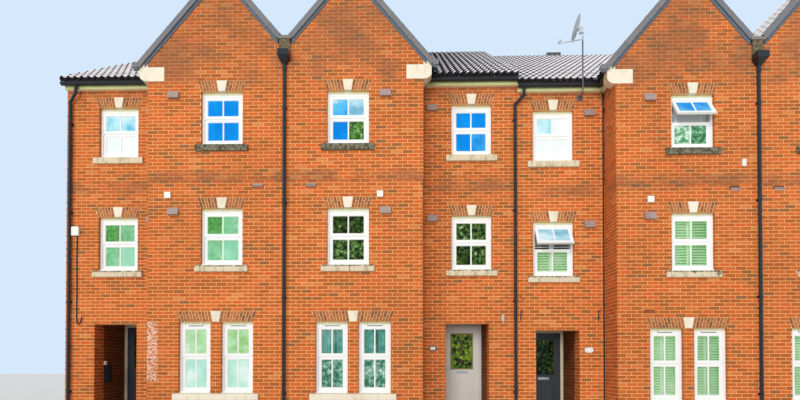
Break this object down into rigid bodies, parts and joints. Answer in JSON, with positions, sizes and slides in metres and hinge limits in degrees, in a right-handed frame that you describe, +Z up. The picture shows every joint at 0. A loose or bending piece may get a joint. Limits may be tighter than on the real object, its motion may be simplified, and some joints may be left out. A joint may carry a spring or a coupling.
{
  "type": "terraced house row",
  "caption": "Three-storey brick terraced houses in mirrored pairs, with paired front gables, kneelers, keystoned flat arches, recessed porches and black rainwater goods.",
  "frame": {"origin": "on the ground at the middle of the main body's footprint, under the middle party wall", "axes": "+Z up, the fronts face -Y, the row runs along X"},
  "size_m": [20.09, 11.916, 11.5852],
  "materials": {
    "brick": "orange-red faced brick with light sandy mortar",
    "blockwork": "painted blockwork",
    "concrete": "floated concrete",
    "joinery": "boarded floors over plasterboard ceilings",
    "stone": "cream cast stone, dirty on the high sills",
    "white_frame": "white extruded window section",
    "pane": "clear sealed panes",
    "cream_frame": "cream door frames and plain shut doors",
    "grey_door": "dark grey moulded leaf",
    "pale_door": "pale stone-coloured moulded leaf",
    "door_metal": "satin door furniture",
    "roof_tile": "dark smooth pantiles",
    "lead": "weathered lead, mossy at its end",
    "eaves_paint": "cream-yellow painted boards",
    "black_plastic": "black rainwater goods",
    "vent_plastic": "brown vent cowls and air bricks",
    "box_plastic": "white utility boxes",
    "grey_metal": "galvanised mast and grey dish"
  },
  "bodies": {
    "building": {"ground_floors": "concrete", "porch_floors": "concrete", "upper_floors_and_ceilings": "joinery", "party_walls": "blockwork", "end_walls": "brick", "gable_bay_lower_walls": "brick", "gable_bay_upper_walls": "brick", "gable_peaks": "brick", "gable_bay_side_walls": "brick", "entrance_piers": "brick", "entrance_upper_walls": "brick", "porch_side_walls": "brick", "rear_walls": "brick", "flat_arches": "brick", "keystones": "stone", "stone_sills": "stone", "kneelers": "stone", "window_frames": "white_frame", "window_sashes": "white_frame", "window_glass": "pane", "door_frames": "cream_frame", "door_hinges": "door_metal", "fixed_doors": "cream_frame", "main_roof_front": "roof_tile", "main_roof_rear": "roof_tile", "gable_roofs": "roof_tile", "ridge_tiles": "roof_tile", "verge_tiles": "roof_tile", "valley_gutters": "lead", "eaves_boards": "eaves_paint", "gutters": "black_plastic", "rainwater_hoppers": "black_plastic", "downpipes": "black_plastic", "wall_vents": "vent_plastic", "utility_boxes": "box_plastic", "basket_brackets": "black_plastic", "satellite_mast": "grey_metal", "satellite_dish": "grey_metal"},
    "front_door_1": {"house_1_door": "grey_door", "house_1_door_glass": "pane", "house_1_door_furniture": "door_metal"},
    "front_door_2": {"house_2_door": "pale_door", "house_2_door_glass": "pane", "house_2_door_furniture": "door_metal"},
    "front_door_3": {"house_3_door": "grey_door", "house_3_door_glass": "pane", "house_3_door_furniture": "door_metal"}
  },
  "joints": [
    {"name": "front_door_1_hinge", "type": "hinge", "parent": "building", "child": "front_door_1", "pos_m": [-9.2795, -4.022, 0.45], "axis": [0, 0, 1], "range_deg": [0, 90]},
    {"name": "front_door_2_hinge", "type": "hinge", "parent": "building", "child": "front_door_2", "pos_m": [-0.6055, -4.022, 0.45], "axis": [0, 0, -1], "range_deg": [0, 90]},
    {"name": "front_door_3_hinge", "type": "hinge", "parent": "building", "child": "front_door_3", "pos_m": [0.5505, -4.022, 0.3], "axis": [0, 0, 1], "range_deg": [0, 90]}
  ]
}
